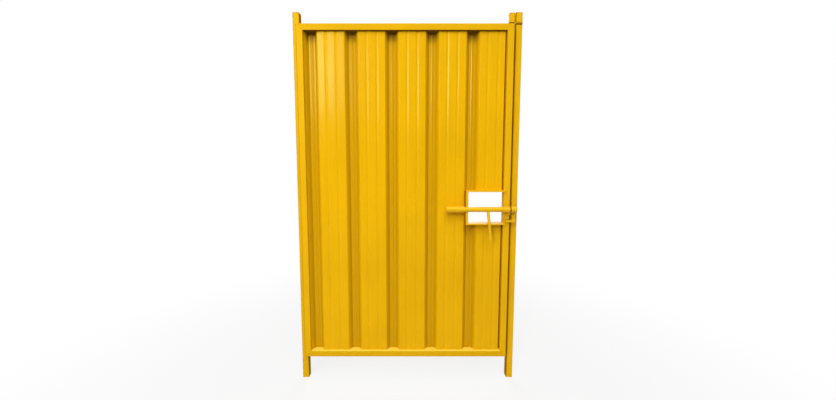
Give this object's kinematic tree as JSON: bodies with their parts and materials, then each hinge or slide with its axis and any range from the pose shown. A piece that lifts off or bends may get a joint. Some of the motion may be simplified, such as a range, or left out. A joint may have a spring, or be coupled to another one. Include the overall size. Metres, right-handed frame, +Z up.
{
  "type": "hoarding pedestrian gate",
  "caption": "Steel pedestrian gate for a site hoarding: framed leaf in trapezoidal sheet, square-tube posts, shoot bolt worked through a hand hole.",
  "frame": {"origin": "centre of the hinge post's foot face, on the ground", "axes": "+X from the hinge post to the latch post, +Y away from the face that carries the bolt, +Z up"},
  "size_m": [1.2, 0.1324, 2],
  "materials": {
    "frame_paint": "semi-gloss paint over welded steel tube",
    "sheet_paint": "semi-gloss paint over profiled steel sheet",
    "bolt_paint": "semi-gloss paint over round steel bar"
  },
  "bodies": {
    "posts": {"hinge_post": "frame_paint", "hinge_post_foot": "frame_paint", "hinge_post_cap": "frame_paint", "latch_post": "frame_paint", "latch_post_foot": "frame_paint", "head_post_tube": "frame_paint", "head_post_cap": "frame_paint", "head_stop_tube": "frame_paint", "head_stop_cap": "frame_paint", "head_packer": "frame_paint", "lower_hinge_seat": "frame_paint", "upper_hinge_seat": "frame_paint", "keeper_standoff": "frame_paint", "keeper_plate": "frame_paint", "keeper_tube": "frame_paint", "stop_strap": "frame_paint"},
    "leaf": {"top_rail": "frame_paint", "bottom_rail": "frame_paint", "hinge_stile": "frame_paint", "latch_stile": "frame_paint", "cladding_sheet": "sheet_paint", "top_back_strip": "frame_paint", "bottom_back_strip": "frame_paint", "lower_hinge_knuckle": "frame_paint", "upper_hinge_knuckle": "frame_paint", "lining_top": "frame_paint", "lining_side": "frame_paint", "lining_bottom": "frame_paint", "long_guide_pad": "frame_paint", "long_guide_tube": "frame_paint", "short_guide_pad": "frame_paint", "short_guide_tube": "frame_paint", "padlock_eye": "frame_paint"},
    "bolt": {"bolt_bar": "bolt_paint"},
    "handle": {"bolt_handle": "bolt_paint"}
  },
  "joints": [
    {"name": "leaf_swing", "type": "hinge", "parent": "posts", "child": "leaf", "pos_m": [0.0305, -0.0095, 1], "axis": [0, 0, 1], "range_deg": [0, 100]},
    {"name": "bolt_slide", "type": "slide", "parent": "leaf", "child": "bolt", "axis": [1, 0, 0], "range_m": [0, 0.03]},
    {"name": "handle_turn", "type": "hinge", "parent": "bolt", "child": "handle", "pos_m": [1.0055, -0.0793, 0.975], "axis": [-1, 0, 0], "range_deg": [0, 160]}
  ]
}
